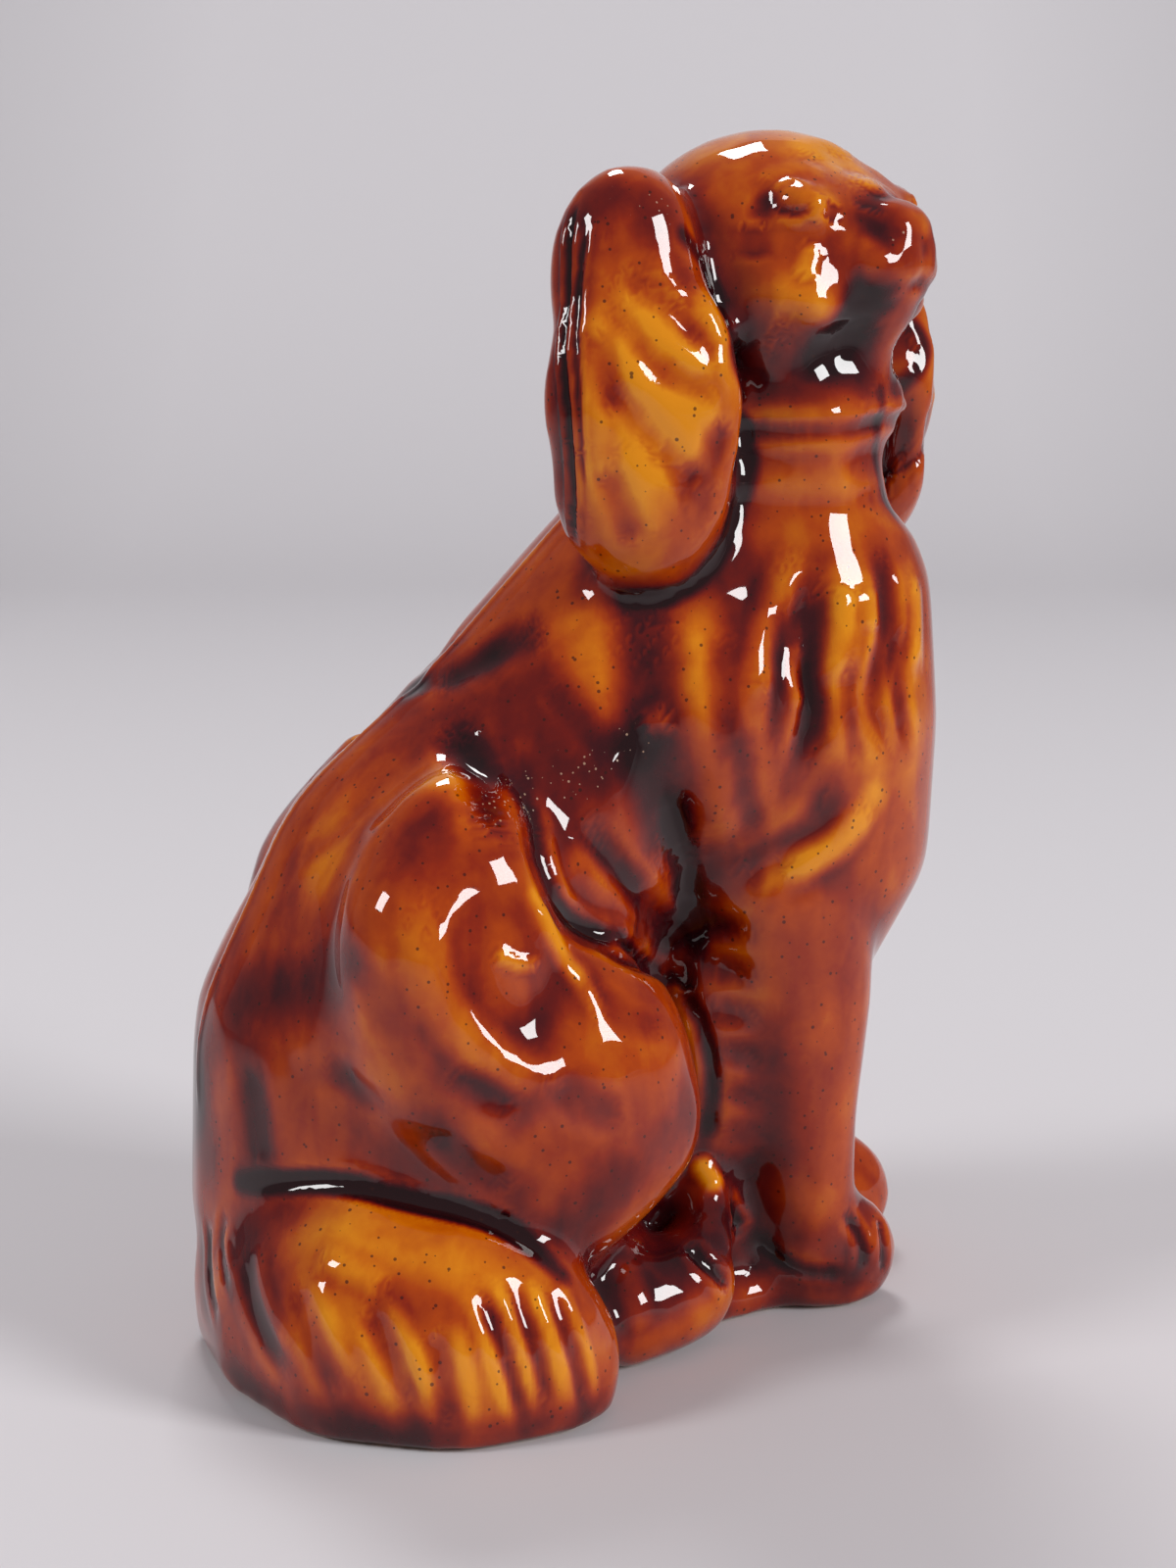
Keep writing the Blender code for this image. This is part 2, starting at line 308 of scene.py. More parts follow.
def across(points, middle, left):
    """The same places on the other side of a middle plane."""
    return [p - 2 * (p - middle).dot(left) * left for p in points]


# The head
# Two pressed half shells, face and back, luted together over the ears. The press mould gives the brow, the
# lidded eyes, the blunt nose and the closed mouth, and the modeller sharpens them with a wooden tool.

# A place on the plane that parts the head's two sides, and how far that plane is turned round from the body's
HEAD_MIDDLE = Vector((22.48, 3.18, 133))
HEAD_TURN = 54
HEAD_LEFT = Vector((math.sin(math.radians(HEAD_TURN)), math.cos(math.radians(HEAD_TURN)), 0))
slot_of = {"head_shell_face": "treacle", "head_shell_back": "treacle"}


def on_face(tool, pixels, **sizes):
    """A tool's stroke on the right half of the head, and its twin on the left."""
    tool(at(*pixels), **sizes)
    tool(across(at(*pixels), HEAD_MIDDLE, HEAD_LEFT), **sizes)


# Nose and muzzle
bridge = (850, 140, 880, 165, 897, 190)
nose_root = (896, 193, 890, 204, 884, 218)
nose = (912, 216, 926, 228)
nostril = (893, 226, 898, 250, 915, 264, 940, 266)
lip_side = (897, 262)
lip_back = (874, 250, 880, 262)
lip_front = (925, 268, 905, 284)
throat = (940, 335, 922, 350, 905, 362)
jaw_underside = (905, 336, 880, 344, 850, 352)
mouth = (950, 288, 925, 291, 900, 298, 872, 310, 850, 326)
on_face(press, bridge, width=7.0, depth=0.9, ends=0.4)
on_face(press, nose_root, width=3.0, depth=0.4)
on_face(pat, nose, width=4.5, height=0.5)
on_face(press, nostril, width=2.0, depth=0.12)
on_face(pat, lip_side, width=4.0, height=0.6)
on_face(pat, lip_back, width=4.0, height=0.5)
on_face(pat, lip_front, width=4.0, height=0.8)
on_face(press, throat, width=5.5, depth=1.6, ends=0.4)
on_face(press, jaw_underside, width=4.0, depth=0.5, ends=0.4)
clay.set()
on_face(press, mouth, width=1.6, depth=0.22)
# Brow, eyes and cheeks
brow = (775, 192, 795, 176, 825, 172, 850, 182)
eyeball = (804, 196, 812, 199)
upper_lid = (786, 203, 794, 190, 808, 184, 822, 188, 830, 200)
eye_crease = (790, 208, 802, 216, 820, 216, 830, 206)
lower_lid = (794, 221, 810, 226, 826, 220)
eye_corner = (782, 206, 778, 214)
muzzle_ridge = (838, 196, 834, 212, 827, 228)
muzzle_hollow = (850, 204, 846, 228)
cheekbone = (832, 246, 826, 264, 820, 288)
temple = (768, 225, 768, 268)
on_face(press, brow, width=2.6, depth=-0.2)
on_face(pat, eyeball, width=2.6, height=0.35)
on_face(press, upper_lid, width=0.9, depth=-0.22)
on_face(press, eye_crease, width=1.0, depth=0.3)
on_face(press, lower_lid, width=1.2, depth=-0.2)
on_face(pat, eye_corner, width=2.4, height=-0.4)
on_face(press, muzzle_ridge, width=1.7, depth=-0.3)
on_face(press, muzzle_hollow, width=2.4, depth=0.35)
on_face(press, cheekbone, width=2.2, depth=-0.45)
on_face(press, temple, width=3.6, depth=0.35)
clay.set()
# The glaze is thin on the skull and the cheeks, and gathers on the nose, in the mouth and under the jaw.
# Under the jaw its darkening is also painted shade.
crown = (720, 150, 770, 135, 830, 148, 870, 172)
brow_side = (745, 195, 760, 175)
muzzle_top = (845, 215, 862, 195)
cheek = (790, 270, 815, 330)
jaw_corner_pool_and_painted_shade = (770, 350, 830, 350)
behind_eye = (766, 228, 770, 268)
eye_rim = (784, 206, 812, 214)
nose_top = (895, 200, 905, 215)
nose_front = (905, 235, 930, 255, 900, 270)
mouth_line = (900, 300, 868, 315)
nose_tip = (905, 228, 918, 240)
under_jaw_pool_and_painted_shade = (880, 325, 850, 350)
throat_band = (800, 385, 880, 385)
chin = (940, 305, 925, 325)
on_face(dab, crown, width=8.0, amount=-0.26)
on_face(dab, brow_side, width=5.0, amount=-0.1)
on_face(dab, muzzle_top, width=4.0, amount=-0.12)
on_face(dab, cheek, width=8.0, amount=-0.1)
# Darker under the jaw's corner: pooled glaze, and painted shade
on_face(dab, jaw_corner_pool_and_painted_shade, width=6.0, amount=0.24)
on_face(dab, behind_eye, width=4.0, amount=0.12)
on_face(dab, eye_rim, width=2.4, amount=0.14)
on_face(dab, nose_top, width=3.0, amount=0.12)
on_face(dab, nose_front, width=4.5, amount=0.22)
on_face(dab, mouth_line, width=4.0, amount=0.35)
# Blisters on the nose, their pale specks partly painted glints
on_face(prick, nose_tip, width=3.5, amount=1.0)
# Darker under the jaw: pooled glaze, and painted shade
on_face(dab, under_jaw_pool_and_painted_shade, width=7.0, amount=0.4)
on_face(dab, throat_band, width=4.5, amount=0.2)
on_face(dab, chin, width=3.6, amount=0.06)

# The ears
# Solid pads of clay, pressed in their own moulds and luted to the sides of the head, where they hang in
# long wavy locks. The mould's seam runs down the back edge of each as a double ridge.

slot_of |= {"ear_right": "amber", "ear_left": "amber"}
ear_trough = (655, 260, 668, 340, 675, 420, 665, 500)
ear_back_roll = (614, 215, 606, 300, 605, 420, 608, 540)
ear_front_roll = (704, 270, 732, 345, 750, 415, 740, 490, 704, 565)
ear_seam = (590, 205, 580, 260, 577, 330, 580, 420, 585, 500, 590, 560)
second_ear_seam = (600, 225, 592, 300, 591, 400, 596, 500)
ear_middle = (640, 310, 655, 400, 640, 480)
ear_front = (700, 330, 725, 400, 700, 440)
ear_tip = (640, 560, 690, 540)
ear_top = (612, 205, 650, 200, 672, 215)
ear_top_front = (668, 240, 690, 290)
ear_top_back = (612, 260, 606, 300)
ear_back_edge = (580, 230, 574, 400, 580, 540)
ear_front_edge = (698, 240, 728, 300, 750, 370, 760, 440, 762, 495, 735, 560, 700, 600, 640, 610)
ear_top_crackle_and_glints = (640, 200, 680, 215)
on_face(press, ear_trough, width=9.0, depth=0.7)
on_face(press, ear_back_roll, width=3.0, depth=-0.4, ends=0.2)
on_face(press, ear_front_roll, width=2.6, depth=-0.4, ends=0.2)
on_face(press, ear_seam, width=0.8, depth=0.5, lip=0.7, ends=0.1)
on_face(press, second_ear_seam, width=0.7, depth=0.3, lip=0.5, ends=0.1)
clay.set()
EAR_LOCKS = ((622, 300, 648, 342, 674, 370, 708, 392, 740, 402),
             (616, 378, 644, 416, 672, 452, 700, 488, 712, 530),
             (690, 296, 714, 338, 738, 372), (614, 470, 634, 512, 648, 560), (746, 428, 724, 462, 710, 500),
             (640, 262, 662, 300, 692, 332, 722, 356), (606, 330, 618, 380, 632, 430))
for lock in EAR_LOCKS:
    on_face(press, lock, width=2.8, depth=0.35, lip=0.3, step=0.12)
    on_face(dab, lock, width=2.6, amount=0.05)
clay.set()
on_face(dab, ear_middle, width=9.0, amount=-0.38)
on_face(dab, ear_front, width=7.0, amount=-0.3)
on_face(dab, ear_tip, width=6.0, amount=-0.06)
on_face(dab, ear_top, width=6.0, amount=0.3)
on_face(dab, ear_top_front, width=4.0, amount=0.12)
on_face(dab, ear_top_back, width=4.0, amount=0.2)
on_face(dab, ear_back_edge, width=4.0, amount=0.34)
on_face(dab, ear_front_edge, width=2.0, amount=0.5)
# Blisters on the ear's top, their pale specks partly painted glints
on_face(prick, ear_top_crackle_and_glints, width=3.5, amount=1.0)
# The left ear shows its front, beyond the neck
left_ear_front = (922, 400, 935, 450, 928, 510)
left_ear_root = (905, 400, 908, 460, 915, 520)
dab(at(*left_ear_front), width=5.0, amount=0.08)
dab(at(*left_ear_root), width=2.0, amount=0.3)

# The collar
# A strip of soft clay laid round the neck over the join of head and body and wiped down with slip. A groove is
# run along it with the tip of a tool.

slot_of |= {"collar": "treacle"}
# The way to the left side of the neck and the body
BODY_LEFT = Vector((0, 1, 0))
# The groove's height, the neck's middle there, and the farthest that the collar stands from it
COLLAR_GROOVE = 114.8
COLLAR_MIDDLE = (22.8, 3.2)
COLLAR_REACH = 21
COLLAR_STOPS = 49
throat_hollow = (904, 365, 908, 405, 914, 450, 926, 505)
collar_front = (860, 405, 885, 420, 905, 440)
under_chin = (890, 360, 905, 390)

collar_line = []
for turn in np.linspace(0, 2 * math.pi, COLLAR_STOPS):
    way = Vector((math.cos(turn), math.sin(turn), 0))
    middle = Vector((*COLLAR_MIDDLE, COLLAR_GROOVE))
    hit = clay.tree.ray_cast((middle + 3 * COLLAR_REACH * way) * MM, -way)[0]
    if hit and (hit / MM - middle).length < COLLAR_REACH:
        collar_line.append(hit / MM)
# The throat is drawn in below the chin, and the same on the neck's other side
press(at(*throat_hollow), width=10.0, depth=2.2)
press(across(at(*throat_hollow), HEAD_MIDDLE, BODY_LEFT), width=10.0, depth=2.2)
clay.set()
sponge(at(*collar_front), width=7.0, rounds=10)
sponge(at(*under_chin), width=6.0, rounds=30)
clay.set()
press(collar_line, width=1.9, depth=0.35, lip=0.3, ends=0)
dab(collar_line, width=2.0, amount=0.12)
clay.set()

# The body
# Two pressed half shells that meet on the spine, where the trimmed seam stays as a fine ridge under the
# glaze. The haunch, the folds before it and the shoulder come from the mould, softened by the sponge.

BODY_MIDDLE = Vector((0, 3.18, 0))
slot_of |= {"body_shell_right": "treacle", "body_shell_left": "treacle"}


def on_flanks(tool, pixels, **sizes):
    """A tool's stroke on the right flank, and its twin on the left."""
    tool(at(*pixels), **sizes)
    tool(across(at(*pixels), BODY_MIDDLE, BODY_LEFT), **sizes)


# The haunch runs into the back, and its face turns a little to the front
haunch_rim = (430, 745, 385, 790, 345, 850, 322, 920)
haunch_top = (440, 765, 395, 800, 355, 855)
haunch_back = (335, 880, 322, 930, 320, 1000, 330, 1060)
haunch_outline = (465, 740, 400, 785, 350, 845, 322, 920, 318, 1000)
haunch_face = (400, 935, 405, 1010, 436, 1080, 495, 1128)
haunch_middle = (404, 960)
on_flanks(sponge, haunch_rim, width=11.0, rounds=160)
clay.set()
on_flanks(press, haunch_top, width=9.0, depth=1.8, ends=0.4)
on_flanks(pat, haunch_back, width=6.0, height=0.7)
clay.set()
on_flanks(sponge, haunch_outline, width=12.0, rounds=240)
clay.set()
on_flanks(pat, haunch_face, width=12.0, height=1.7)
on_flanks(pat, haunch_middle, width=11.0, height=0.9)
# The left haunch lies a little closer in than the right
left_rump = (375, 715, 305, 765, 268, 812, 240, 895)
haunch_crest = (465, 740, 400, 785, 350, 845, 322, 920)
press(at(*left_rump), width=12.0, depth=3.2, ends=0.08)
clay.set()
for wipe in range(2):
    sponge(at(*left_rump), width=14.0, rounds=300)
    on_flanks(sponge, haunch_crest, width=10.0, rounds=60)
    clay.set()
# Folds before the haunch
back_fold = (456, 735, 476, 766, 496, 808, 504, 865)
great_fold = (505, 785, 540, 832, 552, 875, 570, 922, 604, 952, 648, 976, 686, 1006, 714, 1045)
inner_fold = (590, 826, 622, 872, 655, 912, 682, 962)
fold_pad = (588, 884, 612, 908, 640, 940)
haunch_dish = (515, 955, 532, 1000, 552, 1030)
haunch_ridge = (446, 905, 432, 950, 440, 1005, 470, 1052, 524, 1088, 588, 1102)
great_fold_line = (508, 790, 543, 832, 552, 875, 570, 922, 604, 952, 648, 976, 686, 1006, 714, 1045)
fold_ridge = (548, 908, 562, 950, 590, 1000, 620, 1045)
fold_ridge_end = (502, 970, 526, 983, 552, 984)
on_flanks(press, back_fold, width=4.2, depth=1.0)
on_flanks(press, great_fold, width=3.6, depth=1.2)
on_flanks(press, inner_fold, width=3.2, depth=0.8)
on_flanks(pat, fold_pad, width=3.6, height=0.5)
on_flanks(pat, haunch_dish, width=8.0, height=-0.8)
on_flanks(press, haunch_ridge, width=4.2, depth=-0.8)
clay.set()
on_flanks(press, great_fold_line, width=1.8, depth=0.4, lip=0.3)
on_flanks(press, fold_ridge, width=2.0, depth=-0.4)
on_flanks(press, fold_ridge_end, width=1.6, depth=-0.4)
# Shoulder
shoulder_valley = (655, 605, 662, 680, 668, 750, 682, 830, 692, 900)
withers_hollow = (440, 700, 500, 668, 560, 636)
elbow_ridge = (648, 744, 690, 728)
elbow_hollow = (684, 800, 694, 860, 704, 930)
on_flanks(press, shoulder_valley, width=6.5, depth=1.4)
on_flanks(press, withers_hollow, width=5.0, depth=0.5)
clay.set()
on_flanks(press, elbow_ridge, width=3.0, depth=-0.6, ends=0.4)
on_flanks(press, elbow_hollow, width=3.0, depth=0.6)
clay.set()
# Shallow tool marks of the coat: the pixels of each, its width and its depth
COAT_MARKS = (((455, 1092, 492, 1114, 530, 1137), 3.0, 0.28), ((432, 1148, 470, 1180, 528, 1214), 3.2, 0.3),
              ((325, 1078, 360, 1106, 400, 1130), 3.0, 0.2), ((400, 705, 460, 690, 540, 645), 3.0, 0.22),
              ((300, 880, 345, 850, 385, 800), 2.6, 0.15), ((560, 1100, 600, 1128, 640, 1140), 3.2, 0.2),
              ((255, 1080, 262, 1140, 268, 1195), 3.4, 0.3), ((560, 690, 600, 740, 640, 775), 3.0, 0.2),
              ((350, 960, 380, 1010, 400, 1070), 3.4, 0.18), ((600, 1000, 640, 1040, 680, 1050), 2.6, 0.15))
for mark, width, depth in COAT_MARKS:
    on_flanks(press, mark, width=width, depth=depth, lip=0.2)
    on_flanks(dab, mark, width=1.3 * width, amount=0.5 * depth)
clay.set()
# The spine's seam, from the shoulders down to the tail: how far forward and how high it lies
SPINE = ((12, 104), (4, 99), (-4, 92), (-12, 85), (-20, 76), (-30, 70), (-38, 60), (-46, 50), (-50, 40),
         (-52, 30))
BEHIND_AND_ABOVE = Vector((-60, 0, 60))
spine = []
for x, z in SPINE:
    outside = Vector((x, BODY_MIDDLE.y, z)) + BEHIND_AND_ABOVE
    hit = clay.tree.ray_cast(outside * MM, -BEHIND_AND_ABOVE.normalized())[0]
    if hit:
        spine.append(hit / MM)
press(spine, width=0.9, depth=-0.25, ends=0.05)
# The glaze is amber on top of the haunch and the shoulder, and dark in the valleys and along the back. A few
# dabs paint light as well: a painted highlight in the haunch's dish, and painted shade under the thigh and
# along the back's outline.
haunch_light = (330, 870, 390, 810, 450, 790)
haunch_back_light = (320, 900, 350, 880)
coat_streak = (590, 640, 625, 700)
coat_shade = (655, 615, 662, 690, 668, 745)
shoulder_streak = (715, 630, 725, 700)
haunch_centre = (400, 960, 440, 1000)
shoulder_shade = (625, 780, 680, 790, 692, 860, 702, 950)
leg_gap = (702, 900, 712, 1000, 727, 1080, 722, 1150)
fold_shade = (470, 750, 495, 800, 510, 870)
coat_pool = (500, 690, 535, 740, 570, 810)
great_fold_pool = (508, 790, 548, 860, 575, 925, 645, 972, 700, 1030)
fold_pad_light = (590, 880, 620, 920)
fold_ridge_light = (548, 915, 565, 950, 590, 990)
knee_light = (590, 1060, 690, 1070)
dish_amber_and_painted_highlight = (505, 965, 530, 1008)
under_thigh_painted_shade = (600, 1230, 660, 1190, 700, 1150)
rump_shade = (255, 1000, 262, 1190)
back_shade = (420, 705, 540, 645)
back_outline_glaze_and_painted_shade = (215, 1180, 205, 1000, 240, 880, 330, 770)
coat_crackle_and_glints = (500, 830, 560, 800, 640, 760)
on_flanks(dab, haunch_light, width=7.0, amount=-0.24)
on_flanks(dab, haunch_back_light, width=5.0, amount=-0.12)
on_flanks(dab, coat_streak, width=6.0, amount=-0.2)
on_flanks(dab, coat_shade, width=6.0, amount=0.25)
on_flanks(dab, shoulder_streak, width=5.0, amount=-0.2)
on_flanks(dab, haunch_centre, width=6.0, amount=-0.08)
on_flanks(dab, shoulder_shade, width=6.0, amount=0.24)
on_flanks(dab, leg_gap, width=2.4, amount=0.3)
on_flanks(dab, fold_shade, width=5.0, amount=0.14)
on_flanks(dab, coat_pool, width=9.0, amount=0.2)
on_flanks(dab, great_fold_pool, width=2.2, amount=0.15)
on_flanks(dab, fold_pad_light, width=3.4, amount=-0.06)
on_flanks(dab, fold_ridge_light, width=2.4, amount=-0.3)
on_flanks(dab, knee_light, width=6.0, amount=-0.1)
# Lighter glaze in the haunch's dish: partly amber glaze, partly a painted highlight
on_flanks(dab, dish_amber_and_painted_highlight, width=5.0, amount=-0.2)
# Painted shade under the thigh, between the haunch and the foreleg
on_flanks(dab, under_thigh_painted_shade, width=8.0, amount=0.24)
on_flanks(dab, rump_shade, width=6.0, amount=0.2)
on_flanks(dab, back_shade, width=4.5, amount=0.1)
# Darker along the back's outline: partly dark glaze, partly painted shade where the surface turns away
on_flanks(dab, back_outline_glaze_and_painted_shade, width=6.5, amount=0.22)
# Blisters on the coat, their pale specks partly painted glints
on_flanks(prick, coat_crackle_and_glints, width=6.0, amount=1.0)

# The chest
# The front of the two body shells. The bib of long fur between the shoulders hangs in wavy locks, which are
# cut into the pressed clay with a loop tool.

collar_light = (790, 520, 850, 520, 890, 530)
bib_light = (870, 600, 880, 700, 890, 790)
bib_front_light = (925, 600, 935, 690, 930, 780)
bib_tip_light = (840, 760, 900, 780)
bib_side_light = (780, 770, 800, 830)
bib_hem_light = (790, 885, 860, 860, 890, 820)
bib_side_shade = (740, 560, 760, 640, 745, 760)
# The pixels of each groove and lock, its width, and its depth or height
CHEST_GROOVES = (((836, 575, 826, 640, 824, 685, 830, 725, 812, 800), 3.2, 0.8),
                 ((808, 600, 797, 650, 795, 710, 786, 775), 2.6, 0.3),
                 ((895, 550, 906, 610, 905, 655, 893, 715, 905, 785), 3.0, 0.7),
                 ((868, 660, 868, 720, 880, 790), 2.4, 0.3), ((925, 630, 915, 700, 925, 770), 2.4, 0.4),
                 ((742, 893, 790, 872, 832, 838, 848, 795), 3.4, 0.5),
                 ((742, 640, 735, 700, 748, 760), 3.0, 0.25), ((760, 760, 762, 810, 772, 850), 2.6, 0.2))
CHEST_LOCKS = (((815, 555, 792, 605, 778, 660, 772, 730), 3.4, 0.6),
               ((816, 650, 811, 690, 818, 728), 2.2, 0.35),
               ((858, 590, 864, 640, 852, 700), 3.2, 0.6), ((885, 600, 890, 645), 2.4, 0.3),
               ((930, 580, 935, 640, 935, 690), 2.6, 0.4), ((790, 890, 850, 865, 890, 815), 3.6, 0.5))
for lock, width, depth in CHEST_GROOVES:
    on_flanks(press, lock, width=width, depth=depth, lip=0.25)
    on_flanks(dab, lock, width=1.1 * width, amount=0.12)
for lock, width, height in CHEST_LOCKS:
    on_flanks(press, lock, width=width, depth=-height)
    on_flanks(dab, lock, width=width, amount=-0.1)
clay.set()
on_flanks(dab, collar_light, width=7.0, amount=-0.14)
on_flanks(dab, bib_light, width=6.0, amount=-0.2)
on_flanks(dab, bib_front_light, width=5.0, amount=-0.16)
on_flanks(dab, bib_tip_light, width=6.0, amount=-0.14)
on_flanks(dab, bib_side_light, width=5.0, amount=-0.06)
on_flanks(dab, bib_hem_light, width=3.6, amount=-0.24)
on_flanks(dab, bib_side_shade, width=6.0, amount=0.1)

# The forelegs
# Solid rolled legs of clay with a flat paw each, luted to the chest and the foot. Short feathering is ribbed
# across the back of the leg with the side of a tool.

slot_of |= {"foreleg_right": "treacle", "foreleg_left": "treacle"}
# Each rib's pixel row and its depth. It starts at the leg's leaning back edge and drops towards the front.
RIBS = ((945, 0.5), (988, 0.45), (1031, 0.4), (1072, 0.35), (1113, 0.3), (1150, 0.2))
RIB_BACK = 700
RIB_LEAN = 0.1
RIB_RISE = 3
RIB_MIDDLE = 735
RIB_FRONT = 785
RIB_DROP = 10
FRONT_TOES = ((862, 1232, 878, 1262, 880, 1300), (895, 1240, 902, 1270, 900, 1300))

leg_back = (700, 965, 700, 1010, 716, 1048, 727, 1100, 724, 1150, 712, 1188)
paw_top = (775, 1262, 805, 1290, 868, 1300)
leg_light = (850, 930, 840, 1060)
leg_shade = (780, 1060, 790, 1180)
paw_light = (800, 1210, 840, 1230)
toe_pool_and_painted_shade = (860, 1285, 900, 1290)
paw_foot_pool_and_painted_shade = (770, 1265, 810, 1300, 870, 1305)
for level, depth in RIBS:
    rib = (RIB_BACK + (level - RIBS[0][0]) * RIB_LEAN, level - RIB_RISE, RIB_MIDDLE, level,
           RIB_FRONT, level + RIB_DROP)
    on_flanks(press, rib, width=3.0, depth=depth, ends=0.5)
    on_flanks(dab, rib, width=3.0, amount=0.05)
on_flanks(press, leg_back, width=1.8, depth=0.5)
for toe in FRONT_TOES:
    press(at(*toe), width=1.4, depth=0.4, lip=0.3)
press(at(*paw_top), width=1.8, depth=0.4)
clay.set()
on_flanks(dab, leg_light, width=5.0, amount=-0.06)
on_flanks(dab, leg_shade, width=6.0, amount=0.1)
dab(at(*paw_light), width=4.0, amount=-0.1)
# Darker where the paw meets the foot: pooled glaze, and painted shade under the paw
dab(at(*toe_pool_and_painted_shade), width=4.0, amount=0.25)
dab(at(*paw_foot_pool_and_painted_shade), width=3.0, amount=0.25)

# The hind paws
# Solid pads of clay pushed in under the haunches and luted to the foot, with round toes marked off by a tool.

slot_of |= {"hind_paw_right": "dark", "hind_paw_left": "dark"}
HIND_TOES = ((700, 1268, 720, 1290, 745, 1318), (745, 1225, 752, 1250, 748, 1262))

hind_toe = (640, 1300, 650, 1340)
hock = (718, 1192, 728, 1204)
second_hind_toe = (730, 1250, 742, 1262)
paw_pool = (650, 1320, 700, 1290, 740, 1250)
hock_light = (716, 1190, 728, 1205)
for toe in HIND_TOES:
    on_flanks(press, toe, width=1.6, depth=0.6, lip=0.3)
on_flanks(pat, hind_toe, width=3.0, height=0.4)
on_flanks(pat, hock, width=2.4, height=0.6)
on_flanks(pat, second_hind_toe, width=3.0, height=0.4)
clay.set()
on_flanks(dab, paw_pool, width=7.0, amount=0.42)
on_flanks(dab, hock_light, width=2.4, amount=-0.4)

# The tail
# A thick solid roll of clay laid from the rump round the right flank and luted to body and foot. It is combed
# into locks that fan out at its tip.

slot_of |= {"tail": "amber"}
# The pixels of the groove between each two locks, its width and its depth
TAIL_LOCKS = (((372, 1325, 398, 1380, 425, 1440), 2.3, 0.4), ((440, 1350, 452, 1400, 462, 1462), 2.3, 0.35),
              ((486, 1305, 505, 1350, 520, 1390, 538, 1455), 1.8, 0.5),
              ((520, 1300, 538, 1350, 550, 1395, 558, 1445), 2.0, 0.45),
              ((556, 1305, 575, 1350, 590, 1395, 596, 1440), 1.8, 0.4),
              ((300, 1300, 318, 1360, 350, 1430), 2.6, 0.3), ((250, 1270, 262, 1340, 300, 1410), 2.6, 0.35),
              ((212, 1240, 214, 1290, 224, 1350), 1.8, 0.35), ((232, 1230, 226, 1270, 236, 1320), 1.6, 0.3))
tail_outline = (246, 1206, 340, 1207, 430, 1228, 520, 1256, 572, 1300)
tail_ridge = (320, 1282, 360, 1296, 400, 1318)
tail_top_light = (320, 1250, 430, 1280, 540, 1320)
tail_tip_light = (440, 1390, 500, 1400, 590, 1390)
tail_side_light = (340, 1350, 400, 1410)
tail_root_shade = (250, 1280, 275, 1340)
tail_end_shade = (205, 1250, 210, 1330)
tail_foot_shade = (210, 1320, 240, 1400, 330, 1450, 430, 1470)
press(at(*tail_outline), width=2.2, depth=0.7)
dab(at(*tail_outline), width=2.4, amount=0.5)
for lock, width, depth in TAIL_LOCKS:
    press(at(*lock), width=width, depth=depth, lip=0.45, step=0.08)
    dab(at(*lock[2:]), width=1.2 * width, amount=0.14)
press(at(*tail_ridge), width=2.6, depth=-0.4)
clay.set()
dab(at(*tail_top_light), width=7.0, amount=-0.22)
dab(at(*tail_tip_light), width=8.0, amount=-0.32)
dab(at(*tail_side_light), width=8.0, amount=-0.3)
dab(at(*tail_root_shade), width=7.0, amount=0.3)
dab(at(*tail_end_shade), width=5.0, amount=0.1)
dab(at(*tail_foot_shade), width=4.5, amount=0.2)

# The foot
# A slab of clay, cut to the outline of the figure and wiped flat, so that it stands firm. The glaze is
# wiped off underneath, and a round hole lets the steam out of the hollow in the kiln.

slot_of |= {"base_slab": "dark"}
POOL_HEIGHT = 5
POOL_TONE = 0.34
clay.tone += POOL_TONE * np.clip(1 - clay.place[:, 2] / (POOL_HEIGHT * MM), 0, 1)

# The glaze
# Treacle glaze is a lead glaze stained brown with manganese and iron. It is dipped or brushed on and runs
# in the kiln: amber and bright where it lies thin over a ridge, red brown where it lies thicker, nearly
# black in a pool.

# The tone of a flat place, and for fine and broad forms how many wipes would level them, how much tone a
# millimetre of hollow adds, and the most that a ridge takes off and a hollow adds
TONE_AT_REST = 0.5
FINE_HOLLOWS = (8, 1.3, -0.1, 0.16)
BROAD_HOLLOWS = (80, 0.6, -0.16, 0.3)

clay.tone += TONE_AT_REST
for wipes, per_mm, ridge, hollow in (FINE_HOLLOWS, BROAD_HOLLOWS):
    sunk = ((clay.sponged(wipes) - clay.place) * clay.out).sum(1) / MM
    clay.tone += np.clip(per_mm * sunk, ridge, hollow)


def linear(hex_colour):
    """An sRGB hex colour as linear red, green, blue and 1."""
    parts = [int(hex_colour[i:i + 2], 16) / 255 for i in (1, 3, 5)]
    return [c / 12.92 if c <= 0.04045 else ((c + 0.055) / 1.055) ** 2.4 for c in parts] + [1]


def add_node(tree, kind, sockets=None, **settings):
    """A node with its settings, and its inputs set to values or linked to an output: a node and a name."""
    node = tree.nodes.new("ShaderNode" + kind)
    for name, value in settings.items():
        setattr(node, name, value)
    for name, value in (sockets or {}).items():
        if isinstance(value, tuple) and isinstance(value[0], bpy.types.Node):
            tree.links.new(value[0].outputs[value[1]], node.inputs[name])
        else:
            node.inputs[name].default_value = value
    return node


# The glaze's colour from its thinnest, at 0, to a deep pool, at 1
GLAZE_STOPS = ((0.0, "#E28C0C"), (0.16, "#CC6A00"), (0.34, "#B04200"), (0.5, "#8E2404"), (0.64, "#6A120A"),
               (0.8, "#40090F"), (1.0, "#200609"))
# Clouds, runs and mottling in the glaze: how many millimetres across, how fine in detail, how strong, and
# whether they are drawn out downwards
GLAZE_CLOUDS = ((14, 3, 0.6, True), (5, 2, 0.3, True), (1.6, 2, 0.1, False))
CLOUD_WARP = 0.6
RUN_DRAWN_OUT = 0.4
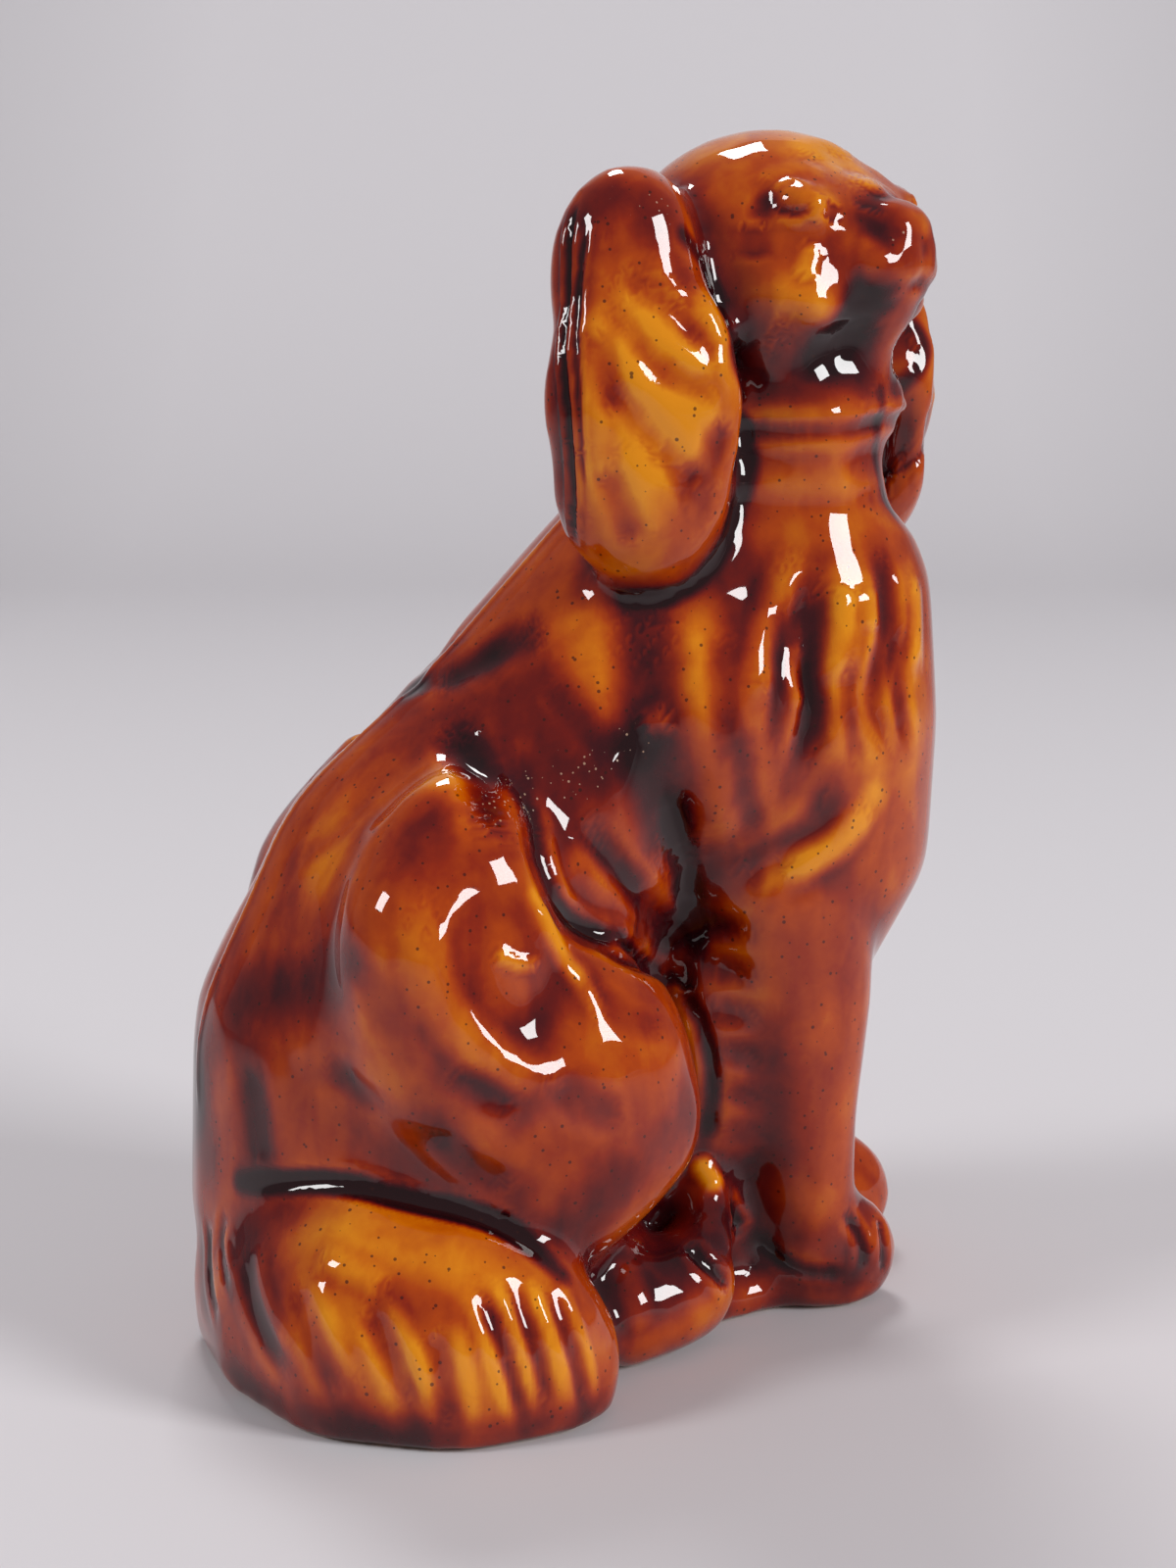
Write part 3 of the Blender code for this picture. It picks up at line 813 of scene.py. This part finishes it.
# Iron specks up to 0.5 mm across, in three of four cells
SPECK_COLOUR = "#30100A"
SPECK_CELL = 1.1
SPECK_SPREAD = 0.29
SPECK_LEFT_OUT = -0.07
SPECK_STRENGTH = 0.75
# Burst blisters up to 0.3 mm across where the glaze has crackled, pale and duller than the rest. Their pale
# colour is partly painted glints of light.
BLISTER_AND_GLINT_COLOUR = "#D8B090"
BLISTER_CELL = 0.7
BLISTER_SPREAD = 0.34
BLISTER_LEFT_OUT = -0.06
BLISTER_STRENGTH = 0.45
BLISTER_DULLNESS = 0.3
GLAZE_ROUGHNESS = 0.03
GLAZE_IOR = 1.5
STAIN_ROUGHNESS = 0.6
BARE_CLAY = "#B98A62"
BARE_ROUGHNESS = 0.85


def treacle_glaze(name):
    """Brown lead glaze over earthenware, fired glossy: it gives deep colour under hard white highlights."""
    material = bpy.data.materials.new(name)
    material.use_nodes = True
    tree = material.node_tree
    shader = tree.nodes["Principled BSDF"]
    where = (add_node(tree, "TexCoord"), "Object")
    depth = add_node(tree, "Attribute", attribute_name="glaze_depth")
    runs = (add_node(tree, "Mapping", {"Vector": where, "Scale": (1, 1, RUN_DRAWN_OUT)}), "Vector")
    tone = (depth, "Fac")
    for size, detail, share, drawn_out in GLAZE_CLOUDS:
        noise = add_node(tree, "TexNoise", {"Vector": runs if drawn_out else where, "Scale": 1 / (size * MM),
                                            "Detail": detail, "Distortion": CLOUD_WARP})
        swing = add_node(tree, "Math", {0: (noise, "Fac"), 1: 0.5}, operation="SUBTRACT")
        sum_of = add_node(tree, "Math", {0: (swing, "Value"), 1: share, 2: tone}, operation="MULTIPLY_ADD")
        tone = (sum_of, "Value")
    ramp = add_node(tree, "ValToRGB", {"Fac": tone})
    while len(ramp.color_ramp.elements) > 1:
        ramp.color_ramp.elements.remove(ramp.color_ramp.elements[-1])
    for place, colour in GLAZE_STOPS:
        stop = ramp.color_ramp.elements[0] if place == 0 else ramp.color_ramp.elements.new(place)
        stop.position, stop.color = place, linear(colour)
    cells = add_node(tree, "TexVoronoi", {"Vector": where, "Scale": 1 / (SPECK_CELL * MM)})
    pick = add_node(tree, "SeparateColor", {"Color": (cells, "Color")})
    size = add_node(tree, "Math", {0: (pick, "Red"), 1: SPECK_SPREAD, 2: SPECK_LEFT_OUT},
                    operation="MULTIPLY_ADD")
    speck = add_node(tree, "Math", {0: (size, "Value"), 1: (cells, "Distance")}, operation="GREATER_THAN")
    share = add_node(tree, "Math", {0: (speck, "Value"), 1: SPECK_STRENGTH}, operation="MULTIPLY")
    specked = add_node(tree, "Mix", {"Factor": (share, "Value")}, data_type="RGBA")
    tree.links.new(ramp.outputs["Color"], specked.inputs["A"])
    specked.inputs["B"].default_value = linear(SPECK_COLOUR)
    blisters = add_node(tree, "TexVoronoi", {"Vector": where, "Scale": 1 / (BLISTER_CELL * MM)})
    kind = add_node(tree, "SeparateColor", {"Color": (blisters, "Color")})
    crackle = add_node(tree, "Attribute", attribute_name="crackle")
    spread = add_node(tree, "Math", {0: (crackle, "Fac"), 1: (kind, "Red")}, operation="MULTIPLY")
    open_to = add_node(tree, "Math", {0: (spread, "Value"), 1: BLISTER_SPREAD, 2: BLISTER_LEFT_OUT},
                       operation="MULTIPLY_ADD")
    blister = add_node(tree, "Math", {0: (open_to, "Value"), 1: (blisters, "Distance")},
                       operation="GREATER_THAN")
    # Pale specks: blisters in the glaze, and partly painted glints of light
    pale = add_node(tree, "Math", {0: (blister, "Value"), 1: BLISTER_STRENGTH}, operation="MULTIPLY")
    blistered_and_glinting = add_node(tree, "Mix", {"Factor": (pale, "Value")}, data_type="RGBA")
    tree.links.new(specked.outputs["Result"], blistered_and_glinting.inputs["A"])
    blistered_and_glinting.inputs["B"].default_value = linear(BLISTER_AND_GLINT_COLOUR)
    tree.links.new(blistered_and_glinting.outputs["Result"], shader.inputs["Base Color"])
    dull = add_node(tree, "Math", {0: (blister, "Value"), 1: BLISTER_DULLNESS, 2: GLAZE_ROUGHNESS},
                    operation="MULTIPLY_ADD")
    tree.links.new(dull.outputs["Value"], shader.inputs["Coat Roughness"])
    # The glossy top of the glaze is the coat; the stained clay beneath it has no shine of its own
    shader.inputs["Roughness"].default_value = STAIN_ROUGHNESS
    shader.inputs["Specular IOR Level"].default_value = 0.0
    shader.inputs["Coat Weight"].default_value = 1.0
    shader.inputs["Coat IOR"].default_value = GLAZE_IOR
    return material


def biscuit(name):
    """Bare fired earthenware under the foot: it gives a dull sandy buff."""
    material = bpy.data.materials.new(name)
    material.use_nodes = True
    shader = material.node_tree.nodes["Principled BSDF"]
    shader.inputs["Base Color"].default_value = linear(BARE_CLAY)
    shader.inputs["Roughness"].default_value = BARE_ROUGHNESS
    return material


glaze = treacle_glaze("treacle_glazed_earthenware")
bare = biscuit("bare_earthenware")

# The pieces
# The skin is parted where the sections were luted together, each part going to the section it lies on, and
# every part is given the thickness of a wall behind it. The glaze runs over the joins, so they don't show.

# The wall shown behind the skin, the height up to which the foot is bare, and the height below which the vent
# is cut. A corner within VENT_GRIP of the vent's circle is moved onto it.
WALL_BEHIND = 1.2
BARE_HEIGHT = 0.35
FOOT_HEIGHT = 2
VENT_GRIP = 0.45
EVENING_ROUNDS = 8
sections = sorted(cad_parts)


def section_faces(skin):
    """For each face of the skin, the number of the section whose surface lies nearest."""
    corners, faces, owner = [], [], []
    for number, name in enumerate(sections):
        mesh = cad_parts[name].data
        first = len(corners)
        corners += [v.co for v in mesh.vertices]
        faces += [[first + i for i in polygon.vertices] for polygon in mesh.polygons]
        owner += [number] * len(mesh.polygons)
    tree = BVHTree.FromPolygons(corners, faces)
    middles = np.empty(len(skin.polygons) * 3)
    skin.polygons.foreach_get("center", middles)
    return np.array([owner[tree.find_nearest(Vector(middle))[2]] for middle in middles.reshape(-1, 3)])


def neighbours(skin):
    """Each two faces of the skin that share an edge."""
    edge = np.empty(len(skin.loops), int)
    skin.loops.foreach_get("edge_index", edge)
    sides = np.empty(len(skin.polygons), int)
    skin.polygons.foreach_get("loop_total", sides)
    face = np.repeat(np.arange(len(sides)), sides)
    order = np.argsort(edge, kind="stable")
    return face[order][::2], face[order][1::2]


def evened(owner, first, last, rounds):
    """The owners after each face has gone over to what most of its neighbours are, a few times."""
    for _ in range(rounds):
        votes = np.zeros((len(owner), len(sections)))
        np.add.at(votes, (first, owner[last]), 1)
        np.add.at(votes, (last, owner[first]), 1)
        votes[np.arange(len(owner)), owner] += 0.5
        owner = votes.argmax(1)
    return owner


def without_islands(owner, first, last):
    """The owners after every stray patch has gone over to the patch round it."""
    patch = np.arange(len(owner))
    same = owner[first] == owner[last]
    while True:
        low = np.minimum(patch[first[same]], patch[last[same]])
        if (patch[first[same]] == patch[last[same]]).all():
            break
        np.minimum.at(patch, first[same], low)
        np.minimum.at(patch, last[same], low)
        patch = patch[patch]
    size = np.bincount(patch, minlength=len(owner))
    stray = np.ones(len(owner), bool)
    for number in range(len(sections)):
        mine = np.nonzero(owner == number)[0]
        stray[patch == patch[mine[size[patch[mine]].argmax()]]] = False
    while stray.any():
        for a, b in ((first, last), (last, first)):
            taken = stray[a] & ~stray[b]
            owner[a[taken]] = owner[b[taken]]
            stray[a[taken]] = False
    return owner


def walled(name, faces, corners, places, out):
    """A closed piece: these faces of the skin, with a wall's thickness behind them and the skin's shading."""
    used = np.unique(faces)
    renumbered = np.searchsorted(used, faces)
    mesh = bpy.data.meshes.new(name)
    mesh.from_pydata(places[used], [], renumbered)
    for key, values in corners.items():
        mesh.attributes.new(key, "FLOAT", "POINT").data.foreach_set("value", values[used].astype(np.float32))
    obj = bpy.data.objects.new(name, mesh)
    bpy.context.scene.collection.objects.link(obj)
    modified(obj, ("SOLIDIFY", {"thickness": WALL_BEHIND * MM, "offset": -1}))
    mesh = obj.data
    corner = np.empty(len(mesh.loops), int)
    mesh.loops.foreach_get("vertex_index", corner)
    shading = np.concatenate([out[used], -out[used]])[corner]
    rim = 2 * renumbered.size
    ways = np.empty(len(mesh.polygons) * 3)
    mesh.polygons.foreach_get("normal", ways)
    shading[rim:] = np.repeat(ways.reshape(-1, 3)[2 * len(faces):], 4, axis=0)
    mesh.normals_split_custom_set(shading)
    return obj


skin = clay.obj.data
first, last = neighbours(skin)
owner = without_islands(evened(section_faces(skin), first, last, EVENING_ROUNDS), first, last)
corner_of = np.empty(len(skin.loops), int)
skin.loops.foreach_get("vertex_index", corner_of)
quads = corner_of.reshape(-1, 4)
# Nothing stands out past the solid figure's own length, width and height
places, out = np.clip(clay.place, cad_low, cad_high), clay.out
middles = places[quads].mean(1)
# The vent is cut with a compass: the corners nearest its circle are moved onto it, and the faces within are
# left out
spokes = (places[:, :2] / MM - VENT_AT) * (places[:, 2:] < FOOT_HEIGHT * MM)
reach = np.linalg.norm(spokes, axis=1)
on_circle = np.abs(reach - VENT_RADIUS) < VENT_GRIP
places[on_circle, :2] = (spokes[on_circle] / reach[on_circle, None] * VENT_RADIUS + VENT_AT) * MM
from_vent = np.linalg.norm(middles[:, :2] / MM - VENT_AT, axis=1)
in_vent = (from_vent < VENT_RADIUS) & (middles[:, 2] < FOOT_HEIGHT * MM)
glazing = {"glaze_depth": clay.tone, "crackle": np.clip(clay.crackle, 0, 1)}
for number, name in enumerate(sections):
    mine = (owner == number) & ~in_vent
    piece = walled("glazed_" + name, quads[mine], glazing, places, out)
    piece.data.materials.append(glaze)
    piece.data.materials.append(bare)
    for face in np.nonzero(middles[mine][:, 2] < BARE_HEIGHT * MM)[0]:
        piece.data.polygons[int(face)].material_index = 1
    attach(piece, "root")
    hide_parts(name)

bpy.data.objects.remove(clay_object)

# The studio
# A sweep of pale paper runs under the dog and up beyond it, and three large soft boxes stand well back: one
# to the right of its chest, one behind its rump and one high over its left side. The paper's colour is painted
# darker away from the dog, a painted fall-off of the studio light. Sizes here are in metres.

# The paper's own pale colour, and the darker colour painted where its light falls off
PAPER_PALE = "#D6D3D6"
PAPER_PAINTED_SHADE = "#6E6B70"
PAPER_ROUGHNESS = 0.8
ROOM_COLOUR = "#CFCBD0"
ROOM_STRENGTH = 0.38
PAPER_FRONT = -2.6
PALE_REACH = 0.2
PAINTED_SHADE_REACH = 1.0
PAPER_BACK = 1.3
PAPER_BEND = 0.5
PAPER_TOP = 1.4
PAPER_HALF_WIDTH = 3.0
PAPER_ROWS = 34
PAPER_COLUMNS = 61
BEND_ROWS = 16

profile = [(y, 0.0) for y in np.linspace(PAPER_FRONT, PAPER_BACK - PAPER_BEND, PAPER_ROWS, endpoint=False)]
for step in range(BEND_ROWS + 1):
    turn = math.radians(90 * step / BEND_ROWS)
    profile.append((PAPER_BACK - PAPER_BEND + PAPER_BEND * math.sin(turn), PAPER_BEND * (1 - math.cos(turn))))
profile.append((PAPER_BACK, PAPER_TOP))
turned = Matrix.Rotation(math.radians(CAMERA_TURN), 4, "Z")
across_paper = np.linspace(-PAPER_HALF_WIDTH, PAPER_HALF_WIDTH, PAPER_COLUMNS)
bm = bmesh.new()
strips = [[bm.verts.new(turned @ Vector((x, y, z))) for y, z in profile] for x in across_paper]
for strip, next_strip in zip(strips, strips[1:]):
    for a, b, c, d in zip(strip, next_strip, next_strip[1:], strip[1:]):
        bm.faces.new((a, b, c, d))
paper_mesh = bpy.data.meshes.new("paper")
bm.to_mesh(paper_mesh)
bm.free()
paper_mesh.shade_smooth()
# Painted shade: the paper is coloured darker the farther it lies from the dog
away = [math.hypot(x, min(y, 0)) for x in across_paper for y, z in profile]
greyness = np.clip((np.array(away) - PALE_REACH) / (PAINTED_SHADE_REACH - PALE_REACH), 0, 1)
paper_mesh.attributes.new("greyness", "FLOAT", "POINT").data.foreach_set("value", greyness.astype(np.float32))
paper = bpy.data.objects.new("paper", paper_mesh)
bpy.context.scene.collection.objects.link(paper)
pale_paper = bpy.data.materials.new("pale_paper")
pale_paper.use_nodes = True
paper_shader = pale_paper.node_tree.nodes["Principled BSDF"]
paper_shader.inputs["Roughness"].default_value = PAPER_ROUGHNESS
falloff_shade_node = add_node(pale_paper.node_tree, "Attribute", attribute_name="greyness")
paper_colour = add_node(pale_paper.node_tree, "Mix", {"Factor": (falloff_shade_node, "Fac")}, data_type="RGBA")
paper_colour.inputs["A"].default_value = linear(PAPER_PALE)
paper_colour.inputs["B"].default_value = linear(PAPER_PAINTED_SHADE)
pale_paper.node_tree.links.new(paper_colour.outputs["Result"], paper_shader.inputs["Base Color"])
paper_mesh.materials.append(pale_paper)

world = bpy.data.worlds.new("studio")
bpy.context.scene.world = world
world.use_nodes = True
world.node_tree.nodes["Background"].inputs["Color"].default_value = linear(ROOM_COLOUR)
world.node_tree.nodes["Background"].inputs["Strength"].default_value = ROOM_STRENGTH

FIGURE_MIDDLE = Vector((0, 0, 0.08))
LAMP_DISTANCE = 5.0


def soft_box(name, turn, rise, width, height, power):
    """A lamp so many degrees round from -Y towards +X and above the table, aimed at the figure's middle."""
    light = bpy.data.lights.new(name, "AREA")
    light.shape = "RECTANGLE"
    light.size, light.size_y, light.energy = width, height, power
    obj = bpy.data.objects.new(name, light)
    bpy.context.scene.collection.objects.link(obj)
    turn, rise = math.radians(turn), math.radians(rise)
    way = Vector((math.sin(turn) * math.cos(rise), -math.cos(turn) * math.cos(rise), math.sin(rise)))
    obj.location = FIGURE_MIDDLE + LAMP_DISTANCE * way
    obj.rotation_mode = "QUATERNION"
    obj.rotation_quaternion = way.to_track_quat("Z", "Y")


soft_box("front_soft_box", turn=42, rise=24, width=1.5, height=1.9, power=172)
soft_box("side_soft_box", turn=-85, rise=32, width=1.2, height=1.5, power=100)
soft_box("back_soft_box", turn=170, rise=55, width=1.2, height=1.2, power=75)

bpy.context.scene.view_settings.view_transform = "Standard"
